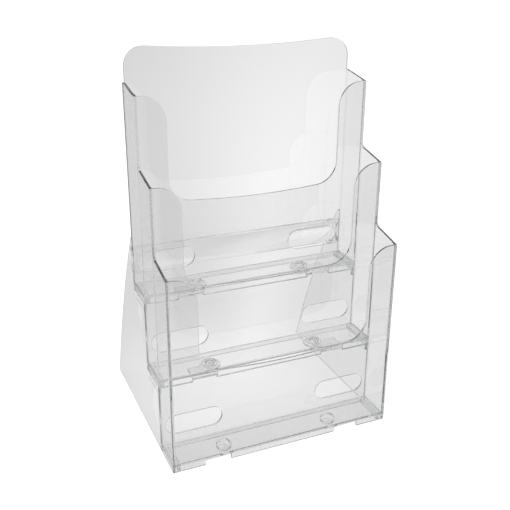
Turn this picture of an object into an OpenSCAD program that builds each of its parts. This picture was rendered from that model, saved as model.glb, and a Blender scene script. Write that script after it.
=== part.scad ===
// Three-tier magazine rack of clear moulded plastic, in millimetres.
// Three pockets step up and back like stairs. Each pocket is its own moulding and stands on
// the low back wall of the pocket in front of it and on the steps of two side panels.
// +Z is up and the pockets open towards -Y. The origin is on the table, at the middle of the
// rack's width and depth.

/* [Rack] */
// Overall width of every pocket and of the stand
rack_w = 236; // [190:1:300]
// Thickness of every moulded wall
wall = 2.5; // [2:0.1:3.5]
// Air left between two pieces that meet
fit_gap = 0.2; // [0.1:0.05:0.4]

/* [Tiers] */
// Distance from one tier's front face to the next tier's front face
tier_pitch = 37.3; // [32:0.1:60]
// Height of one tier's foot above the foot of the tier in front
tier_rise = 73.5; // [62:0.5:110]
// Depth of the top pocket, from its front face to its rear face
top_depth = 38.7; // [34:0.1:60]
// Height of a pocket's floor above its foot
floor_z = 8; // [7:0.1:14]
// Height of the front corners of a pocket above its foot
front_h = 201; // [150:1:260]
// How far a side wall's top edge climbs from front to back
side_climb = 6.7; // [0:0.1:15]
// Radius of the lug where a side wall's top edge meets the pocket behind
lug_r = 8; // [4:0.5:12]

/* [Front cut-out] */
// Width of front wall left standing at each side of the cut-out
ear_w = 29.5; // [22:0.5:45]
// Radius of the ear's top corner
ear_r = 24; // [8:0.5:30]
// Height of the cut-out's lower edge above the foot, middle and top pockets
cutout_z = 100; // [70:0.5:130]
// Extra height of the bottom pocket's cut-out edge
bottom_cutout_extra = 3; // [0:0.5:10]
// Radius of the cut-out's lower corners
cutout_r = 23; // [8:0.5:28]
// How far the cut-out's lower edge dips in the middle
cutout_dip = 2.7; // [0:0.1:6]

/* [Back panel] */
// Height of the back panel above the top pocket's side walls
panel_rise = 31.8; // [20:0.1:90]
// Radius of the back panel's top corners
panel_r = 18.5; // [5:0.5:30]
// How far the panel's top edge dips in the middle
panel_dip = 4; // [0:0.1:8]
// How far the panel is set in from the side walls above them
panel_inset = 1.8; // [0:0.1:4]

/* [Back slots] */
// Length of a slot, round end to round end
slot_l = 57.5; // [30:0.5:70]
// Height of a slot
slot_h = 21.5; // [12:0.5:26]
// Distance of a slot's outer end from the side of the rack
slot_margin = 7.2; // [5:0.1:20]
// Height of a slot's middle above the pocket's foot
slot_z = 28.5; // [22:0.5:40]

/* [Floor sockets] */
// Distance of a socket's middle outwards from the notch's inner edge
socket_in = 1.5; // [0:0.1:4]
// Distance of a socket behind the pocket's front face
socket_y = 19; // [17:0.5:20]
// Outer diameter of the tube under the floor
tube_d = 15; // [14.5:0.1:18]
// Diameter of the bore through the tube
socket_d = 9; // [7:0.1:10]
// Diameter of the recess that takes a pin's head
recess_d = 12.2; // [11.5:0.1:13.5]
// Depth of that recess
recess_z = 1.5; // [1:0.1:2.5]
// Clearance from the tube's lower end to the foot
tube_lift = 0.8; // [0.4:0.1:1.5]

/* [Lock tabs] */
// Width of the notch in the front skirt
notch_w = 27; // [18:0.5:34]
// Width of the skirt's corner outside the notch
corner_w = 33.5; // [20:0.5:45]
// Side clearance of the tab in the notch
tab_side = 1; // [0.5:0.1:2]
// Thickness of the tab
tab_t = 2.5; // [2:0.1:3]
// Air between the tab and the floor above it
tab_gap = 1.6; // [0.5:0.1:2]
// Width of plastic around the tube in the tab's eye
eye_w = 3; // [2:0.1:5]

/* [Lock pins] */
// Radial clearance of the pin's shank in the socket
pin_clear = 0.1; // [0.05:0.05:0.2]
// Thickness of the pin's head
pin_head_t = 1.3; // [0.8:0.1:2]
// Height of the dome on the head
pin_dome = 0.6; // [0:0.1:1]
// Length of the barbed tip below the tube
pin_tip = 3.2; // [2.4:0.1:5]
// How far the barbs stand out from the shank
pin_barb = 0.5; // [0.3:0.1:0.8]
// Width of the slit that lets the tip close
pin_slit = 1.6; // [1:0.1:2.4]

/* [Stand] */
// Depth of the rack on the table, front face to the rear of the stand
stand_depth = 211; // [185:1:260]
// Height of the side panels above the top pocket's foot
stand_rise = 55; // [48:0.5:80]
// Width of the panels at that height
stand_top_w = 4; // [3:0.5:10]
// How far the panels' rear edge bows out
stand_bow = 6; // [0:0.5:10]
// Thickness of a tongue that stands up inside a pocket's skirt
tongue_t = 2.2; // [1.6:0.1:3]
// Clearance of a tongue in its groove, each side
tongue_gap = 0.3; // [0.2:0.05:0.5]
// Air between a tongue and the floor above it
tongue_top_gap = 1; // [0.3:0.1:2]
// Depth of the tongue's root on the panel's inner face
tongue_root = 8; // [5:0.5:15]

/* [Cross brace] */
// Height of the brace
brace_h = 27.5; // [20:0.5:30]
// Height of the brace's lower edge above the top pocket's foot
brace_z = 16.3; // [10:0.1:17]
// Depth of the brace, front to back
brace_depth = 8.5; // [7:0.5:9]
// Length of the spigots on the panels that the brace's ends slip over
spigot_l = 8; // [5:0.5:14]
// How far the channel at each end of the brace reaches past its spigot
channel_past = 4; // [2:0.5:20]

/* [Hidden] */
$fn = 64;
arc_steps = 12;
curve_steps = 16;
overlap = 0.01;
clear_plastic = [0.90, 0.92, 0.93, 0.35];
pin_plastic = [0.80, 0.82, 0.83, 0.5];

half_w = rack_w / 2;
inner_half_w = half_w - wall;
floor_under = floor_z - wall;
side_top = front_h + side_climb;
low_y = tier_pitch - fit_gap;
low_depth = low_y + wall;
top_y = 2 * tier_pitch;
top_z = 2 * tier_rise;
back_y = top_y + top_depth;
panel_h = side_top + panel_rise;
slot_x = half_w - slot_margin - slot_l / 2;
notch_x = half_w - corner_w - notch_w;
socket_x = notch_x + socket_in;
rib_x = inner_half_w - tongue_t - 2 * tongue_gap - wall;
eye_r = tube_d / 2 + fit_gap + eye_w;
tab_x = notch_x + tab_side;
tab_w = notch_w - 2 * tab_side;
tab_z = floor_under - tab_gap - tab_t;
tongue_h = floor_under - tongue_top_gap;
stand_top_z = top_z + stand_rise;
brace_y = back_y + fit_gap;

// Points on a circle from angle a0 to angle a1
function arc(c, r, a0, a1) =
    [for (i = [0 : arc_steps])
        let (a = a0 + (a1 - a0) * i / arc_steps)
        [c[0] + r * cos(a), c[1] + r * sin(a)]];

// Points of a level edge from +x to -x that dips in the middle
function dipped(x, z, dip) =
    [for (i = [1 : curve_steps - 1])
        let (t = 1 - 2 * i / curve_steps)
        [x * t, z - dip * (1 - t * t)]];

// Points from p to q, bowed to the right of that direction
function bowed(p, q, bow) =
    let (d = q - p, n = [d[1], -d[0]] / norm(d))
    [for (i = [0 : curve_steps])
        let (t = i / curve_steps)
        p + d * t - n * bow * 4 * t * (1 - t)];

function mirrored(points) =
    [for (i = [len(points) - 1 : -1 : 0]) [-points[i][0], points[i][1]]];

// Right half of the front wall's edge, from the foot up over the ear and into the cut-out
function ear_edge(cut_z) =
    let (ear_x = half_w - ear_w)
    concat(
        [[half_w, 0], [half_w, front_h]],
        arc([ear_x + ear_r, front_h - ear_r], ear_r, 90, 180),
        arc([ear_x - cutout_r, cut_z + cutout_r], cutout_r, 0, -90));

function front_outline(cut_z) =
    let (edge = ear_edge(cut_z))
    concat(edge, dipped(half_w - ear_w - cutout_r, cut_z, cutout_dip), mirrored(edge));

// Right half of the tall back panel's edge
function panel_edge() =
    let (x = half_w - panel_inset)
    concat(
        [[half_w, 0], [half_w, side_top], [x, side_top]],
        arc([x - panel_r, panel_h - panel_r], panel_r, 0, 90));

function panel_outline() =
    concat(
        panel_edge(),
        dipped(half_w - panel_inset - panel_r, panel_h, panel_dip),
        mirrored(panel_edge()));

// Side wall of a lower pocket. Its lug curves up against the front wall of the pocket behind.
function lower_side_outline() =
    let (z = tier_rise - fit_gap, blunt = 0.9)
    concat(
        [[0, 0], [low_depth, 0], [low_depth, z], [low_y, z]],
        arc([low_y - lug_r + blunt, side_top + lug_r], lug_r, -acos(1 - blunt / lug_r), -90),
        [[0, front_h]]);

// Side wall of the top pocket, level where the back panel's edge steps in above it
function top_side_outline() =
    [[0, 0], [top_depth, 0], [top_depth, side_top], [top_depth - wall, side_top], [0, front_h]];

// Panel of the stand, following the stepped rear of the three pockets
function stand_outline() =
    let (y1 = low_depth + fit_gap, y2 = y1 + tier_pitch, y3 = back_y + fit_gap,
         z1 = tier_rise - fit_gap, z2 = top_z - fit_gap)
    concat(
        [[y1, 0], [y1, z1], [y2, z1], [y2, z2], [y3, z2], [y3, stand_top_z]],
        bowed([y3 + stand_top_w, stand_top_z], [stand_depth, 0], stand_bow));

// Stands an outline drawn in X and Z up as a wall whose front face is at y
module upright(y) {
    translate([0, y + wall, 0])
        rotate([90, 0, 0])
            linear_extrude(wall)
                children();
}

// Stands an outline drawn in Y and Z up as a wall from x outwards
module sideways(x, t) {
    translate([x, 0, 0])
        rotate([90, 0, 90])
            linear_extrude(t)
                children();
}

module both_sides() {
    children();
    mirror([1, 0, 0])
        children();
}

module racetrack(l, h) {
    square([l - h, h], center = true);
    for (s = [-1, 1])
        translate([s * (l - h) / 2, 0])
            circle(d = h);
}

module slots_2d() {
    both_sides()
        translate([slot_x, slot_z])
            racetrack(slot_l, slot_h);
}

module front_wall(cut_z) {
    upright(0)
        difference() {
            polygon(front_outline(cut_z));
            both_sides()
                translate([notch_x, -overlap])
                    square([notch_w, floor_under + overlap]);
        }
}

module side_walls(outline) {
    both_sides()
        sideways(inner_half_w, wall)
            polygon(outline);
}

// Floor with its two socket tubes and the two ribs that make the tongue grooves
module pocket_floor(depth) {
    difference() {
        union() {
            translate([-half_w, 0, floor_under])
                cube([rack_w, depth, wall]);
            both_sides() {
                translate([socket_x, socket_y, tube_lift])
                    cylinder(d = tube_d, h = floor_under - tube_lift + overlap);
                translate([rib_x, wall - overlap, 0])
                    cube([wall, depth - 2 * wall + 2 * overlap, floor_under + overlap]);
            }
        }
        both_sides()
            translate([socket_x, socket_y, 0]) {
                cylinder(d = socket_d, h = floor_z + 1);
                translate([0, 0, floor_z - recess_z])
                    cylinder(d = recess_d, h = recess_z + 1);
            }
    }
}

// Tab on a low back wall. Its neck passes through the notch of the pocket behind,
// and its eye fits round that pocket's socket tube.
module lock_tab() {
    translate([0, tier_pitch, tier_rise])
        difference() {
            union() {
                translate([tab_x, -fit_gap, -wall])
                    cube([tab_w, wall, wall + tab_z + tab_t]);
                translate([tab_x, -fit_gap, tab_z])
                    cube([tab_w, socket_y + fit_gap, tab_t]);
                translate([socket_x, socket_y, tab_z])
                    cylinder(r = eye_r, h = tab_t);
            }
            translate([socket_x, socket_y, tab_z - 1])
                cylinder(d = tube_d + 2 * fit_gap, h = tab_t + 2);
        }
}

module lower_pocket(cut_z) {
    front_wall(cut_z);
    side_walls(lower_side_outline());
    pocket_floor(low_depth);
    upright(low_y)
        difference() {
            translate([-half_w, 0])
                square([rack_w, tier_rise - fit_gap]);
            slots_2d();
        }
    both_sides()
        lock_tab();
}

// Moves a pocket or a pin from the first tier to tier n and centres the rack's depth
module at_tier(n) {
    translate([0, n * tier_pitch - stand_depth / 2, n * tier_rise])
        children();
}

module bottom_pocket() {
    color(clear_plastic)
        at_tier(0)
            lower_pocket(cutout_z + bottom_cutout_extra);
}

module middle_pocket() {
    color(clear_plastic)
        at_tier(1)
            lower_pocket(cutout_z);
}

module top_pocket() {
    color(clear_plastic)
        at_tier(2) {
            front_wall(cutout_z);
            side_walls(top_side_outline());
            pocket_floor(top_depth);
            upright(top_depth - wall)
                difference() {
                    polygon(panel_outline());
                    slots_2d();
                }
        }
}

// Tongue on the inner face of a panel, at the step under a pocket of the given depth.
// It rises between the pocket's side skirt and the rib inside it.
module tongue(y, z, depth) {
    length = depth - 2 * wall - 2 * tongue_gap;
    translate([inner_half_w - tongue_gap - tongue_t, y + wall + tongue_gap, z - tongue_root]) {
        cube([tongue_t, length, tongue_root + tongue_h]);
        cube([tongue_t + tongue_gap + overlap, length, tongue_root - fit_gap]);
    }
}

// Spigot on the inner face of a panel that fills the end of the cross brace
module spigot() {
    y = brace_y + fit_gap;
    z = top_z + brace_z + wall + fit_gap;
    translate([inner_half_w - spigot_l, y, z])
        cube([spigot_l + overlap, brace_depth - wall - 2 * fit_gap, brace_h - 2 * wall - 2 * fit_gap]);
}

module side_panel() {
    translate([0, -stand_depth / 2, 0]) {
        sideways(inner_half_w, wall)
            polygon(stand_outline());
        tongue(tier_pitch, tier_rise, low_depth);
        tongue(top_y, top_z, top_depth);
        spigot();
    }
}

module right_side_panel() {
    color(clear_plastic)
        side_panel();
}

module left_side_panel() {
    color(clear_plastic)
        mirror([1, 0, 0])
            side_panel();
}

// Flat bar across the back. Each end is a channel, open towards the top pocket, that slips
// over a panel's spigot.
module cross_brace() {
    length = 2 * (inner_half_w - fit_gap);
    bar_l = length - 2 * (spigot_l + channel_past);
    color(clear_plastic)
        translate([-length / 2, brace_y - stand_depth / 2, top_z + brace_z])
            difference() {
                cube([length, brace_depth, brace_h]);
                translate([-1, -overlap, wall])
                    cube([length + 2, brace_depth - wall + overlap, brace_h - 2 * wall]);
                translate([(length - bar_l) / 2, -overlap, -1])
                    cube([bar_l, brace_depth - wall + overlap, brace_h + 2]);
            }
}

// Push-in pin, head at the floor and barbs below the tube
module lock_pin() {
    shank_r = socket_d / 2 - pin_clear;
    seat = floor_z - recess_z + fit_gap / 2;
    tip = tube_lift - pin_tip;
    barb_z = tube_lift - fit_gap;
    head_r = recess_d / 2 - fit_gap;
    outline = concat(
        [[0, tip], [shank_r - pin_barb, tip], [shank_r + pin_barb, barb_z - 1], [shank_r + pin_barb, barb_z]],
        [[shank_r, barb_z], [shank_r, seat], [head_r, seat], [head_r, seat + pin_head_t - pin_dome]],
        [[head_r - pin_dome, seat + pin_head_t], [0, seat + pin_head_t]]);
    difference() {
        rotate_extrude()
            polygon(outline);
        translate([-pin_slit / 2, -socket_d, tip - 1])
            cube([pin_slit, 2 * socket_d, floor_under - tip]);
    }
}

module pin_in(tier, side) {
    color(pin_plastic)
        at_tier(tier)
            translate([side * socket_x, socket_y, 0])
                lock_pin();
}

module middle_lock_pin_left() { pin_in(1, -1); }
module middle_lock_pin_right() { pin_in(1, 1); }
module top_lock_pin_left() { pin_in(2, -1); }
module top_lock_pin_right() { pin_in(2, 1); }

bottom_pocket();
middle_pocket();
top_pocket();
left_side_panel();
right_side_panel();
cross_brace();
middle_lock_pin_left();
middle_lock_pin_right();
top_lock_pin_left();
top_lock_pin_right();
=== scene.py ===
import math

import bmesh
import bpy
from mathutils import Matrix, Vector


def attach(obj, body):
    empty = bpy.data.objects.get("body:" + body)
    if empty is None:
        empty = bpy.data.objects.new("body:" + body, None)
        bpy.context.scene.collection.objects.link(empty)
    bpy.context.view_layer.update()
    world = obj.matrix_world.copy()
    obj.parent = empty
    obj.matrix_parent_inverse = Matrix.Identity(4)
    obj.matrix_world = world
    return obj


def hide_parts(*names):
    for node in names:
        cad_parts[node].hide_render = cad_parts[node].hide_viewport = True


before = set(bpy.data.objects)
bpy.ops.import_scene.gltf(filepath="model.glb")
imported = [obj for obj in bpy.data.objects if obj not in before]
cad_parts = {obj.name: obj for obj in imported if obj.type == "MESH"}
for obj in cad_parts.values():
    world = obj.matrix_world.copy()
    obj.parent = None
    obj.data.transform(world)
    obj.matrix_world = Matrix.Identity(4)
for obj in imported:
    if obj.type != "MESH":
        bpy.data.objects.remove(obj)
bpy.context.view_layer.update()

# Three-tier magazine rack in clear moulded plastic, in metres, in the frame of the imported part.
scene = bpy.context.scene
print("frame loaded,", len(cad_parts), "parts")

# The camera looks at the rack's front from its left, a little from above.
cameraPlace = {
    "location": (-0.2831, -0.6791, 0.4681),
    "azimuth": -23.5,
    "elevation": 22.12,
    "roll": 0.35,
    "lens": 53.18,  # millimetres
    "sensor": 36,
}


def addCamera(place):
    a, e, r = (math.radians(place[k]) for k in ("azimuth", "elevation", "roll"))
    back = Vector((math.sin(a) * math.cos(e), -math.cos(a) * math.cos(e), math.sin(e)))
    right = (-back).cross(Vector((0, 0, 1))).normalized()
    up = right.cross(-back)
    xAxis = math.cos(r) * right + math.sin(r) * up
    yAxis = math.cos(r) * up - math.sin(r) * right
    data = bpy.data.cameras.new("rackCamera")
    data.sensor_width = place["sensor"]
    data.lens = place["lens"]
    camera = bpy.data.objects.new("rackCamera", data)
    turn = Matrix((xAxis, yAxis, back)).transposed().to_4x4()
    camera.matrix_world = Matrix.Translation(place["location"]) @ turn
    scene.collection.objects.link(camera)
    scene.camera = camera


addCamera(cameraPlace)


# An sRGB hex value as linear light.
def hexColour(text):
    channels = [int(text[i:i + 2], 16) / 255 for i in (1, 3, 5)]
    return [c / 12.92 if c <= 0.04045 else ((c + 0.055) / 1.055) ** 2.4 for c in channels] + [1]


def addNode(tree, kind, settings=None, inputs=None):
    node = tree.nodes.new(kind)
    for name, value in (settings or {}).items():
        setattr(node, name, value)
    for name, value in (inputs or {}).items():
        if isinstance(value, bpy.types.NodeSocket):
            tree.links.new(value, node.inputs[name])
        else:
            node.inputs[name].default_value = value
    return node


def newMaterial(name):
    material = bpy.data.materials.new(name)
    material.use_nodes = True
    material.node_tree.nodes.clear()
    return material, material.node_tree


# Crystal polystyrene, injection moulded in a polished steel tool: water clear, glossy, with faint
# flow waves, a few hand marks and a grey edge where light runs a long way inside the sheet.
def crystalPolystyrene(name, finish):
    material, tree = newMaterial(name)
    place = addNode(tree, "ShaderNodeTexCoord").outputs["Object"]
    stretched = addNode(tree, "ShaderNodeMapping", inputs={
        "Vector": place, "Scale": finish["flowStretch"]})
    flow = addNode(tree, "ShaderNodeTexNoise", inputs={
        "Vector": stretched.outputs[0], "Scale": 1 / finish["flowWave"],
        "Detail": finish["flowDetail"], "Roughness": finish["flowRoughness"]})
    bump = addNode(tree, "ShaderNodeBump", inputs={
        "Height": flow.outputs["Fac"], "Distance": finish["flowHeight"], "Strength": 1.0})
    smears = addNode(tree, "ShaderNodeTexNoise", inputs={
        "Vector": place, "Scale": 1 / finish["smearSize"],
        "Detail": finish["smearDetail"], "Roughness": finish["smearRoughness"]})
    gloss = addNode(tree, "ShaderNodeMapRange", inputs={
        "Value": smears.outputs["Fac"],
        "From Min": finish["smearRange"][0], "From Max": finish["smearRange"][1],
        "To Min": finish["roughness"][0], "To Max": finish["roughness"][1]})
    plastic = addNode(tree, "ShaderNodeBsdfPrincipled", inputs={
        "Base Color": hexColour(finish["colour"]), "Roughness": gloss.outputs[0],
        "IOR": finish["ior"], "Transmission Weight": 1.0, "Normal": bump.outputs[0]})
    inside = addNode(tree, "ShaderNodeVolumeAbsorption", inputs={
        "Color": hexColour(finish["depthColour"]), "Density": finish["depthDensity"]})
    addNode(tree, "ShaderNodeOutputMaterial", inputs={
        "Surface": plastic.outputs[0], "Volume": inside.outputs[0]})
    return material


pocketFinish = {
    "colour": "#F9F9F9",
    "ior": 1.59,
    "roughness": (0.01, 0.04),  # clean plastic and hand marks
    "flowWave": 0.045,  # metres between waves of the melt's flow
    "flowStretch": (1.0, 1.0, 0.45),
    "flowHeight": 0.000004,
    "flowDetail": 1.0,
    "flowRoughness": 0.4,
    "smearSize": 0.012,
    "smearDetail": 4.0,
    "smearRoughness": 0.6,
    "smearRange": (0.45, 0.75),  # noise values at which a hand mark starts and is full
    "depthColour": "#DCDEDE",
    "depthDensity": 18.0,
}
pocketPlastic = crystalPolystyrene("mouldedCrystalPolystyrene", pocketFinish)
standPlastic = crystalPolystyrene("mouldedPanelPolystyrene", {**pocketFinish, "colour": "#FEFEFE"})
pinPlastic = crystalPolystyrene("mouldedPinPolystyrene", {**pocketFinish, "roughness": (0.06, 0.16)})


edgeRules = {
    "merge": 0.00001,  # metres within which doubled points become one
    "sharpTurn": 30,  # degrees between faces past which an edge is rounded
    "flatTurn": 1,  # degrees below which neighbouring faces become one
    "roomShare": 0.45,  # most of a face's width that one rounding may take
    "mostCorners": 20,  # a face with more is split before it is rounded
}


def isSharp(edge):
    turn = math.radians(edgeRules["sharpTurn"])
    return len(edge.link_faces) == 2 and edge.calc_face_angle(0) > turn


# Weights each sharp edge so that its rounding fits the faces and the short edges beside it. The
# weights are shares of the larger of the two radii.
def weighEdges(shape, outside, inside):
    weight = shape.edges.layers.float.new("bevel_weight_edge")
    for edge in shape.edges:
        if isSharp(edge):
            room = [face.calc_area() / edge.calc_length() for face in edge.link_faces]
            beside = [other for end in edge.verts for other in end.link_edges if other != edge]
            room += [other.calc_length() for other in beside if isSharp(other)]
            radius = outside if edge.is_convex else inside
            edge[weight] = min(radius, edgeRules["roomShare"] * min(room)) / max(outside, inside)


# The part's own mesh with its doubled points merged and its faces smooth, weighted for rounding.
# A panel's widest faces are split, because rounding would fold such a face over itself.
def roundedMesh(name, edge):
    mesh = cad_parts[name].data.copy()
    for old in ("custom_normal", "sharp_edge", "sharp_face"):
        if old in mesh.attributes:
            mesh.attributes.remove(mesh.attributes[old])
    shape = bmesh.new()
    shape.from_mesh(mesh)
    bmesh.ops.remove_doubles(shape, verts=shape.verts, dist=edgeRules["merge"])
    flat = math.radians(edgeRules["flatTurn"])
    bmesh.ops.dissolve_limit(shape, angle_limit=flat, verts=shape.verts, edges=shape.edges)
    if edge["splitFaces"]:
        wide = [face for face in shape.faces if len(face.verts) > edgeRules["mostCorners"]]
        bmesh.ops.triangulate(shape, faces=wide)
    for face in shape.faces:
        face.smooth = True
    weighEdges(shape, edge["outside"], edge["inside"])
    shape.to_mesh(mesh)
    shape.free()
    mesh.materials.clear()
    return mesh


def addPiece(name, mesh, material):
    piece = bpy.data.objects.new(name, mesh)
    mesh.materials.append(material)
    scene.collection.objects.link(piece)
    return piece


def addRounding(piece, edge):
    bevel = piece.modifiers.new("mouldedEdges", "BEVEL")
    bevel.width = max(edge["outside"], edge["inside"])
    bevel.segments = edge["segments"]
    bevel.limit_method = "WEIGHT"
    bevel.harden_normals = True
    bevel.use_clamp_overlap = False


def mouldedCopy(name, edge, material):
    piece = addPiece(name + "_moulded", roundedMesh(name, edge), material)
    addRounding(piece, edge)
    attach(piece, "root")
    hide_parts(name)


wallEdge = {"outside": 0.0005, "inside": 0.0011, "segments": 2, "splitFaces": False}
panelEdge = {"outside": 0.0005, "inside": 0.0, "segments": 2, "splitFaces": True}
for name in ("bottom_pocket", "middle_pocket", "top_pocket"):
    mouldedCopy(name, wallEdge, pocketPlastic)
for name in ("left_side_panel", "right_side_panel", "cross_brace"):
    mouldedCopy(name, panelEdge, standPlastic)
print("clear mouldings made")

# One barbed pin, repeated across and up to the four upper floor sockets. The pattern pin already
# stands in the middle pocket's left socket.
lockPins = {
    "edge": {"outside": 0.00012, "inside": 0.0, "segments": 1, "splitFaces": False},
    "pinsAcross": 2,
    "tiers": 2,
    "across": 0.118,  # metres between the two pins of a tier
    "pitch": 0.0373,
    "rise": 0.0735,
}


def pinTree(pins, pin):
    tree = bpy.data.node_groups.new("lockPinRows", "GeometryNodeTree")
    face = tree.interface
    face.new_socket("Geometry", in_out="OUTPUT", socket_type="NodeSocketGeometry")
    sizes = {}
    for label, size in (("Across", "across"), ("Tier pitch", "pitch"), ("Tier rise", "rise")):
        socket = face.new_socket(label, in_out="INPUT", socket_type="NodeSocketFloat")
        sizes[socket.identifier] = pins[size]
    given = addNode(tree, "NodeGroupInput").outputs
    source = addNode(tree, "GeometryNodeObjectInfo", inputs={"Object": pin, "As Instance": True})
    aside = addNode(tree, "ShaderNodeCombineXYZ", inputs={"X": given["Across"]})
    step = addNode(tree, "ShaderNodeCombineXYZ", inputs={
        "Y": given["Tier pitch"], "Z": given["Tier rise"]})
    pair = addNode(tree, "GeometryNodeMeshLine", inputs={
        "Count": pins["pinsAcross"], "Offset": aside.outputs[0]})
    tiers = addNode(tree, "GeometryNodeMeshLine", inputs={
        "Count": pins["tiers"], "Offset": step.outputs[0]})
    row = addNode(tree, "GeometryNodeInstanceOnPoints", inputs={
        "Points": pair.outputs[0], "Instance": source.outputs["Geometry"]})
    rows = addNode(tree, "GeometryNodeInstanceOnPoints", inputs={
        "Points": tiers.outputs[0], "Instance": row.outputs[0]})
    real = addNode(tree, "GeometryNodeRealizeInstances", inputs={"Geometry": rows.outputs[0]})
    finished = addNode(tree, "GeometryNodeSetMaterial", inputs={
        "Geometry": real.outputs[0], "Material": pinPlastic})
    addNode(tree, "NodeGroupOutput", inputs={"Geometry": finished.outputs[0]})
    return tree, sizes


def addLockPins(pins):
    pin = addPiece("pinPattern", roundedMesh("middle_lock_pin_left", pins["edge"]), pinPlastic)
    addRounding(pin, pins["edge"])
    rows = addPiece("pinRows", bpy.data.meshes.new("pinRows"), pinPlastic)
    tree, sizes = pinTree(pins, pin)
    nodes = rows.modifiers.new("pinRows", "NODES")
    nodes.node_group = tree
    for socket, value in sizes.items():
        nodes[socket] = value
    bpy.context.view_layer.update()
    graph = bpy.context.evaluated_depsgraph_get()
    mesh = bpy.data.meshes.new_from_object(rows.evaluated_get(graph))
    rows.modifiers.remove(nodes)
    mesh.materials.clear()
    piece = addPiece("lock_pins", mesh, pinPlastic)
    for spare in (pin, rows):
        bpy.data.objects.remove(spare)
    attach(piece, "root")
    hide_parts("middle_lock_pin_left", "middle_lock_pin_right",
                "top_lock_pin_left", "top_lock_pin_right")
    return piece


pins = addLockPins(lockPins)
print("lock pins set,", len(pins.data.vertices), "points,", [m.name for m in pins.data.materials])

# A table top that runs out of sight, with light painted on as a glow from its surface, in two sheets
# that mirror reflections don't show. One is seen directly and is plain white. The other is seen through
# the plastic, where a painted pool of light is brightest by the rack and fades with distance, most on the
# far left.
tableTops = [
    {"name": "studioTable", "drop": 0.0004, "forCamera": False},
    {"name": "studioTableGlow", "drop": 0.0002, "forCamera": True},
]
tableSize = 60.0  # metres
tableSurfaceAndPaintedLight = {
    "colour": "#8C8C8C",
    "roughness": 0.8,
    "glowPast": 0.95,
    "glowNear": 0.88,
    "nearTo": (0.0, 0.3),  # metres from the rack over which the painted near glow fades
    "glowFar": (0.58, 0.78),  # painted far glow on the left and on the right
    "farTurn": (0.14, 0.50),  # radians to the right of straight back, left end and right end
    "sideTurn": (0.48, 0.80),  # radians over which the glow falls off again towards the right
    "sideGlow": 0.84,  # share of the painted far glow that is left there
}


# Painted light: an emission that stands in for light falling on the table, brightest by the rack and fading
# with distance and towards the right.
def paintedTableGlow(tree, finish):
    place = addNode(tree, "ShaderNodeTexCoord").outputs["Object"]
    parts = addNode(tree, "ShaderNodeSeparateXYZ", inputs={"Vector": place})
    away = addNode(tree, "ShaderNodeVectorMath", {"operation": "LENGTH"}, {"Vector": place})
    turn = addNode(tree, "ShaderNodeMath", {"operation": "ARCTAN2"}, {
        0: parts.outputs["X"], 1: parts.outputs["Y"]})
    far = addNode(tree, "ShaderNodeMapRange", {"interpolation_type": "SMOOTHSTEP"}, {
        "Value": turn.outputs[0], "From Min": finish["farTurn"][0], "From Max": finish["farTurn"][1],
        "To Min": finish["glowFar"][0], "To Max": finish["glowFar"][1]})
    side = addNode(tree, "ShaderNodeMapRange", {"interpolation_type": "SMOOTHSTEP"}, {
        "Value": turn.outputs[0], "From Min": finish["sideTurn"][0], "From Max": finish["sideTurn"][1],
        "To Min": 1.0, "To Max": finish["sideGlow"]})
    around = addNode(tree, "ShaderNodeMath", {"operation": "MULTIPLY"}, {
        0: far.outputs[0], 1: side.outputs[0]})
    glow = addNode(tree, "ShaderNodeMapRange", {"interpolation_type": "SMOOTHSTEP"}, {
        "Value": away.outputs["Value"], "From Min": finish["nearTo"][0], "From Max": finish["nearTo"][1],
        "To Min": finish["glowNear"], "To Max": around.outputs[0]})
    return glow.outputs[0]


def addTable(top, finish):
    half = tableSize / 2
    corners = [(-half, -half, 0), (half, -half, 0), (half, half, 0), (-half, half, 0)]
    mesh = bpy.data.meshes.new(top["name"])
    mesh.from_pydata(corners, [], [(0, 1, 2, 3)])
    table = bpy.data.objects.new(top["name"], mesh)
    table.location.z = -top["drop"]
    material, tree = newMaterial(top["name"] + "PaintedGlow")
    # The sheet seen through the plastic gets the painted pool of light; the sheet seen directly glows evenly
    # white.
    glow = finish["glowPast"] if top["forCamera"] else paintedTableGlow(tree, finish)
    surface = addNode(tree, "ShaderNodeBsdfPrincipled", inputs={
        "Base Color": hexColour(finish["colour"]), "Roughness": finish["roughness"],
        "Specular IOR Level": 0.0, "Emission Color": hexColour("#FFFFFF"), "Emission Strength": glow})
    addNode(tree, "ShaderNodeOutputMaterial", inputs={"Surface": surface.outputs[0]})
    mesh.materials.append(material)
    table.visible_camera = top["forCamera"]
    table.visible_transmission = not top["forCamera"]
    table.visible_diffuse = not top["forCamera"]
    table.visible_shadow = not top["forCamera"]
    table.visible_glossy = False
    scene.collection.objects.link(table)


for top in tableTops:
    addTable(top, tableSurfaceAndPaintedLight)

# The room: pale round the horizon, dimmer overhead, dark low down in front of the rack, pale low
# down behind it, and darker on the rack's right. Seen directly it is white, like the table.
room = {
    "horizon": 0.95,
    "overhead": 0.55,
    "lowInFront": 0.10,
    "lowBehind": 0.50,
    "lowTurn": (-0.25, 0.45),  # how far back a low direction points, from dark to pale
    "lowEdge": (-0.12, -0.02),  # how far up a direction points, from the low part to the horizon
    "highEdge": (0.24, 0.60),
    "rightShade": 0.6,
    "rightEdge": (-0.2, 0.9),
}


def shade(tree, value, span, low, high):
    return addNode(tree, "ShaderNodeMapRange", inputs={
        "Value": value, "From Min": span[0], "From Max": span[1], "To Min": low, "To Max": high}).outputs[0]


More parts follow.
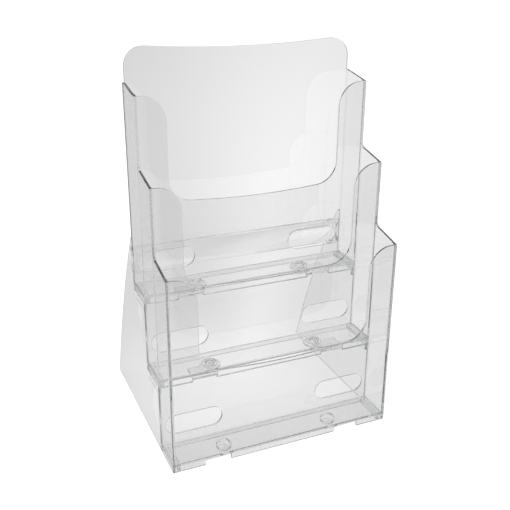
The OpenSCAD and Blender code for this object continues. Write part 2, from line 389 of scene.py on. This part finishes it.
def addRoom(room):
    world = bpy.data.worlds.new("studioRoom")
    world.use_nodes = True
    tree = world.node_tree
    tree.nodes.clear()
    direction = addNode(tree, "ShaderNodeTexCoord").outputs["Generated"]
    parts = addNode(tree, "ShaderNodeSeparateXYZ", inputs={"Vector": direction}).outputs
    low = shade(tree, parts["Y"], room["lowTurn"], room["lowInFront"], room["lowBehind"])
    high = shade(tree, parts["Z"], room["highEdge"], room["horizon"], room["overhead"])
    both = shade(tree, parts["Z"], room["lowEdge"], low, high)
    sides = shade(tree, parts["X"], room["rightEdge"], 1.0, room["rightShade"])
    dimmed = addNode(tree, "ShaderNodeMath", {"operation": "MULTIPLY"}, {0: both, 1: sides})
    direct = addNode(tree, "ShaderNodeLightPath").outputs["Is Camera Ray"]
    strength = addNode(tree, "ShaderNodeMath", {"operation": "MAXIMUM"}, {0: dimmed.outputs[0], 1: direct})
    light = addNode(tree, "ShaderNodeBackground", inputs={
        "Color": hexColour("#FFFFFF"), "Strength": strength.outputs[0]})
    addNode(tree, "ShaderNodeOutputWorld", inputs={"Surface": light.outputs[0]})
    scene.world = world


addRoom(room)

softboxes = [
    {"name": "keySoftbox", "place": (-1.5, 0.4, 1.6), "aim": (0, 0, 0.2), "size": (1.6, 1.2), "watts": 14.0},
    {"name": "topSoftbox", "place": (0.4, 0.6, 2.4), "aim": (0, 0, 0.1), "size": (2.0, 2.0), "watts": 16.0},
]


def addSoftbox(box):
    data = bpy.data.lights.new(box["name"], "AREA")
    data.shape = "RECTANGLE"
    data.size, data.size_y = box["size"]
    data.energy = box["watts"]
    light = bpy.data.objects.new(box["name"], data)
    aim = Vector(box["aim"]) - Vector(box["place"])
    light.matrix_world = Matrix.Translation(box["place"]) @ aim.to_track_quat("-Z", "Y").to_matrix().to_4x4()
    scene.collection.objects.link(light)


for box in softboxes:
    addSoftbox(box)

# Light has many clear walls to cross, and is mirrored many times inside each one.
clearBounces = 128
scene.cycles.max_bounces = clearBounces
scene.cycles.transmission_bounces = clearBounces
scene.cycles.glossy_bounces = clearBounces
scene.cycles.transparent_max_bounces = 24
scene.cycles.diffuse_bounces = 4
scene.view_settings.view_transform = "Standard"
print("studio lit")
